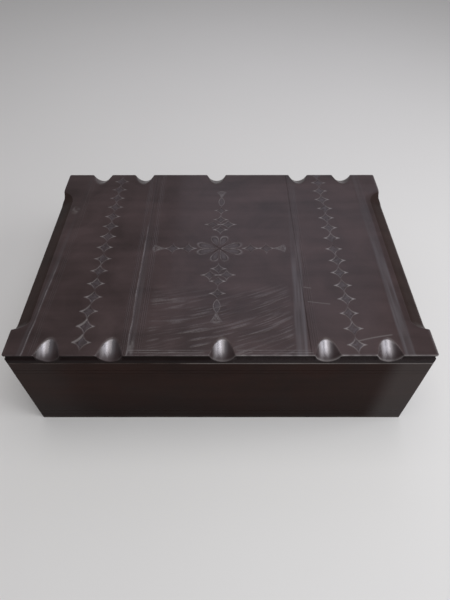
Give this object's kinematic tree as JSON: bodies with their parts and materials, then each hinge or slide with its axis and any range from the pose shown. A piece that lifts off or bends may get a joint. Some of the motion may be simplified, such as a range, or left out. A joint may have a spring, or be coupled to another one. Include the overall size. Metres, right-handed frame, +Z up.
{
  "type": "dowry chest",
  "caption": "Low leather-covered chest with tooled star chains, gouged scoops round its slab lid, and a hinged lid on brass stays.",
  "frame": {"origin": "middle of the chest's underside, on the floor", "axes": "+Z up, +X to the chest's right, -Y towards its front"},
  "size_m": [1, 0.7085, 0.316],
  "materials": {
    "body_leather": "dark chocolate glazed leather, tooled border lines",
    "lid_leather": "dark chocolate glazed leather, hand-tooled with stars and lines, worn glossy",
    "carcass_wood": "plain sawn softwood, unfinished",
    "bottom_wood": "plain sawn softwood, unfinished",
    "lid_wood": "plain planed softwood, unfinished",
    "hinge_brass": "satin brass, slightly tarnished",
    "stay_brass": "satin brass, slightly tarnished",
    "tack_brass": "dull brass heads",
    "nail_iron": "dark iron",
    "screw_steel": "plain steel, slotted heads"
  },
  "bodies": {
    "chest": {"front_board": "carcass_wood", "back_board": "carcass_wood", "left_end_board": "carcass_wood", "right_end_board": "carcass_wood", "front_cleat": "bottom_wood", "back_cleat": "bottom_wood", "left_cleat": "bottom_wood", "right_cleat": "bottom_wood", "bottom_plank_1": "bottom_wood", "bottom_plank_2": "bottom_wood", "bottom_plank_3": "bottom_wood", "bottom_plank_4": "bottom_wood", "bottom_plank_5": "bottom_wood", "front_leather": "body_leather", "back_leather": "body_leather", "left_leather": "body_leather", "right_leather": "body_leather", "carcass_nails": "nail_iron", "bottom_nails": "nail_iron", "rim_tacks": "tack_brass", "left_hinge_lower_leaf": "hinge_brass", "middle_hinge_lower_leaf": "hinge_brass", "right_hinge_lower_leaf": "hinge_brass", "left_hinge_pin": "hinge_brass", "middle_hinge_pin": "hinge_brass", "right_hinge_pin": "hinge_brass", "lower_hinge_screws": "screw_steel", "left_stay_stud": "stay_brass", "right_stay_stud": "stay_brass"},
    "lid": {"lid_front_rail": "lid_wood", "lid_back_rail": "lid_wood", "lid_left_rail": "lid_wood", "lid_right_rail": "lid_wood", "lid_plank_1": "lid_wood", "lid_plank_2": "lid_wood", "lid_plank_3": "lid_wood", "lid_plank_4": "lid_wood", "lid_plank_5": "lid_wood", "lid_left_batten": "lid_wood", "lid_right_batten": "lid_wood", "lid_leather_left": "lid_leather", "lid_leather_centre": "lid_leather", "lid_leather_right": "lid_leather", "lid_nails": "nail_iron", "lid_tacks": "tack_brass", "left_hinge_upper_leaf": "hinge_brass", "middle_hinge_upper_leaf": "hinge_brass", "right_hinge_upper_leaf": "hinge_brass", "upper_hinge_screws": "screw_steel", "left_stay_bracket": "stay_brass", "right_stay_bracket": "stay_brass", "left_stay_rivet": "stay_brass", "right_stay_rivet": "stay_brass", "stay_bracket_screws": "screw_steel"},
    "left_stay": {"left_stay_bar": "stay_brass"},
    "right_stay": {"right_stay_bar": "stay_brass"}
  },
  "joints": [
    {"name": "lid_hinge", "type": "hinge", "parent": "chest", "child": "lid", "pos_m": [0, 0.3545, 0.28375], "axis": [-1, 0, 0], "range_deg": [0, 100]},
    {"name": "left_stay_pivot", "type": "hinge", "parent": "lid", "child": "left_stay", "pos_m": [-0.46625, 0.23001, 0.2725], "axis": [1, 0, 0], "range_deg": [0, 50]},
    {"name": "right_stay_pivot", "type": "hinge", "parent": "lid", "child": "right_stay", "pos_m": [0.46625, 0.23001, 0.2725], "axis": [1, 0, 0], "range_deg": [0, 50]}
  ],
  "couplings": [
    {"joint": "left_stay_pivot", "follows": "lid_hinge", "ratio": 0.5},
    {"joint": "right_stay_pivot", "follows": "lid_hinge", "ratio": 0.5}
  ]
}
